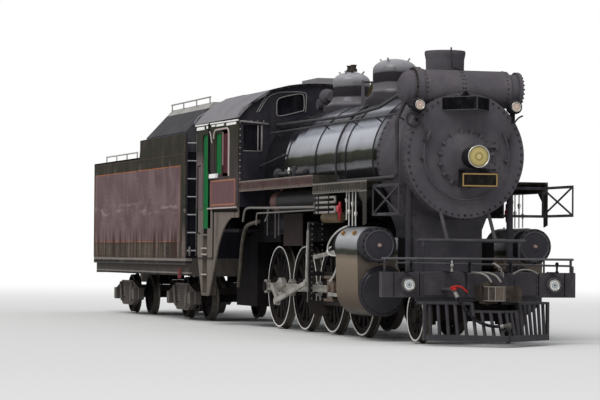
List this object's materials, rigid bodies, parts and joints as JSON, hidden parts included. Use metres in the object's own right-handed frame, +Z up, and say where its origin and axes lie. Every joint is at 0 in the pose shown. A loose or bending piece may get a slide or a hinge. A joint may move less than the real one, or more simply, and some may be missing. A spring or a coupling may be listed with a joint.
{
  "type": "steam locomotive with tender",
  "caption": "Oil-fired freight steam locomotive with coupled driving wheels, a leading truck and a tender, for pulling cars on standard-gauge rails.",
  "frame": {"origin": "on the ground under the middle of the machine's box", "axes": "+X forward, +Y to the machine's left, +Z up"},
  "size_m": [22.76, 3.1158, 4.672],
  "materials": {
    "black_steel": "dusty black paint",
    "graphite": "matt graphite paint",
    "jacket_dark": "polished dark sheet",
    "jacket_blue": "polished planished sheet",
    "satin_black": "satin black paint",
    "gloss_black": "gloss black paint",
    "brass": "dull brass",
    "roof_grey": "weathered grey paint",
    "cab_green": "green paint",
    "maroon": "weathered maroon paint",
    "tender_maroon": "weathered black and maroon paint",
    "pipe_steel": "worn steel pipe",
    "rod_steel": "oiled machined steel",
    "cast_brown": "rusty cast steel",
    "hose_rubber": "black rubber",
    "wheel_black": "black castings with white tyre rims",
    "bunker_grey": "grey paint"
  },
  "bodies": {
    "engine": {"frame": "black_steel", "frame_stays": "black_steel", "cylinder_saddle": "graphite", "cylinders": "jacket_dark", "smokebox": "graphite", "smokebox_door": "graphite", "stack": "graphite", "feedwater_heater": "graphite", "boiler_barrel": "jacket_blue", "firebox": "jacket_blue", "domes": "satin_black", "safety_valves": "brass", "boiler_fittings": "satin_black", "ash_pan": "black_steel", "cab_front": "gloss_black", "cab_sides": "gloss_black", "cab_rear": "gloss_black", "cab_roof": "roof_grey", "cab_floor": "cab_green", "aprons": "gloss_black", "running_boards": "maroon", "air_reservoirs": "black_steel", "pipes": "pipe_steel", "brake_gear": "black_steel", "air_pump": "black_steel", "guide_yoke": "black_steel", "crossheads": "rod_steel", "main_rods": "rod_steel", "valve_gear": "rod_steel", "pilot_beam": "satin_black", "pilot": "satin_black", "coupler_front": "cast_brown", "lamps": "satin_black", "front_braces": "satin_black", "air_hose": "hose_rubber", "hose_fitting": "cast_brown"},
    "knuckle_front": {"knuckle_front": "cast_brown"},
    "bell": {"bell": "brass"},
    "axle_1": {"axle_1": "wheel_black"},
    "axle_2": {"axle_2": "wheel_black"},
    "axle_3": {"axle_3": "wheel_black"},
    "axle_4": {"axle_4": "wheel_black"},
    "side_rods_right": {"side_rods_right": "rod_steel"},
    "side_rods_left": {"side_rods_left": "rod_steel"},
    "pilot_truck": {"pilot_truck": "black_steel"},
    "pilot_wheels": {"pilot_wheels": "wheel_black"},
    "tender": {"tender_frame": "black_steel", "tender_drawgear": "black_steel", "tender_tank": "tender_maroon", "oil_bunker": "bunker_grey", "tender_rails": "satin_black", "coupler_rear": "cast_brown"},
    "hatch_lid": {"hatch_lid": "satin_black"},
    "knuckle_rear": {"knuckle_rear": "cast_brown"},
    "tender_truck_front": {"tender_truck_front": "black_steel"},
    "tender_truck_rear": {"tender_truck_rear": "black_steel"},
    "tender_wheels_1": {"tender_wheels_1": "wheel_black"},
    "tender_wheels_2": {"tender_wheels_2": "wheel_black"},
    "tender_wheels_3": {"tender_wheels_3": "wheel_black"},
    "tender_wheels_4": {"tender_wheels_4": "wheel_black"}
  },
  "joints": [
    {"name": "axle_1_spin", "type": "hinge", "parent": "engine", "child": "axle_1", "pos_m": [6.84, 0, 0.765], "axis": [0, 1, 0], "continuous": true},
    {"name": "axle_2_spin", "type": "hinge", "parent": "engine", "child": "axle_2", "pos_m": [5.23, 0, 0.765], "axis": [0, 1, 0], "continuous": true},
    {"name": "axle_3_spin", "type": "hinge", "parent": "engine", "child": "axle_3", "pos_m": [3.62, 0, 0.765], "axis": [0, 1, 0], "continuous": true},
    {"name": "axle_4_spin", "type": "hinge", "parent": "engine", "child": "axle_4", "pos_m": [2.01, 0, 0.765], "axis": [0, 1, 0], "continuous": true},
    {"name": "rods_right_turn", "type": "hinge", "parent": "axle_3", "child": "side_rods_right", "pos_m": [3.214, -0.93, 0.765], "axis": [0, 1, 0], "continuous": true},
    {"name": "rods_left_turn", "type": "hinge", "parent": "axle_3", "child": "side_rods_left", "pos_m": [3.62, 0.93, 0.359], "axis": [0, 1, 0], "continuous": true},
    {"name": "pilot_truck_swivel", "type": "hinge", "parent": "engine", "child": "pilot_truck", "pos_m": [8.05, 0, 0.42], "axis": [0, 0, 1], "range_deg": [-5, 5]},
    {"name": "pilot_wheels_spin", "type": "hinge", "parent": "pilot_truck", "child": "pilot_wheels", "pos_m": [9.5, 0, 0.422], "axis": [0, 1, 0], "continuous": true},
    {"name": "bell_swing", "type": "hinge", "parent": "engine", "child": "bell", "pos_m": [5, 0, 4.29], "axis": [0, 1, 0], "range_deg": [-40, 40]},
    {"name": "knuckle_front_swing", "type": "hinge", "parent": "engine", "child": "knuckle_front", "pos_m": [10.82, -0.14, 0.788], "axis": [0, 0, 1], "range_deg": [-45, 0]},
    {"name": "drawbar_swing", "type": "hinge", "parent": "engine", "child": "tender", "pos_m": [-0.9, 0, 1], "axis": [0, 0, 1], "range_deg": [-5, 5]},
    {"name": "front_truck_swivel", "type": "hinge", "parent": "tender", "child": "tender_truck_front", "pos_m": [-4.06, 0, 0.75], "axis": [0, 0, 1], "range_deg": [-8, 8]},
    {"name": "tender_wheels_1_spin", "type": "hinge", "parent": "tender_truck_front", "child": "tender_wheels_1", "pos_m": [-3.185, 0, 0.447], "axis": [0, 1, 0], "continuous": true},
    {"name": "tender_wheels_2_spin", "type": "hinge", "parent": "tender_truck_front", "child": "tender_wheels_2", "pos_m": [-4.935, 0, 0.447], "axis": [0, 1, 0], "continuous": true},
    {"name": "rear_truck_swivel", "type": "hinge", "parent": "tender", "child": "tender_truck_rear", "pos_m": [-9.06, 0, 0.75], "axis": [0, 0, 1], "range_deg": [-8, 8]},
    {"name": "tender_wheels_3_spin", "type": "hinge", "parent": "tender_truck_rear", "child": "tender_wheels_3", "pos_m": [-8.185, 0, 0.447], "axis": [0, 1, 0], "continuous": true},
    {"name": "tender_wheels_4_spin", "type": "hinge", "parent": "tender_truck_rear", "child": "tender_wheels_4", "pos_m": [-9.935, 0, 0.447], "axis": [0, 1, 0], "continuous": true},
    {"name": "hatch_lid_hinge", "type": "hinge", "parent": "tender", "child": "hatch_lid", "pos_m": [-10.23, 0, 3.436], "axis": [0, 1, 0], "range_deg": [-100, 0]},
    {"name": "knuckle_rear_swing", "type": "hinge", "parent": "tender", "child": "knuckle_rear", "pos_m": [-11.095, 0.14, 0.788], "axis": [0, 0, 1], "range_deg": [-45, 0]}
  ],
  "couplings": [
    {"joint": "axle_1_spin", "follows": "axle_3_spin", "ratio": 1},
    {"joint": "axle_2_spin", "follows": "axle_3_spin", "ratio": 1},
    {"joint": "axle_4_spin", "follows": "axle_3_spin", "ratio": 1},
    {"joint": "rods_right_turn", "follows": "axle_3_spin", "ratio": -1},
    {"joint": "rods_left_turn", "follows": "axle_3_spin", "ratio": -1}
  ]
}
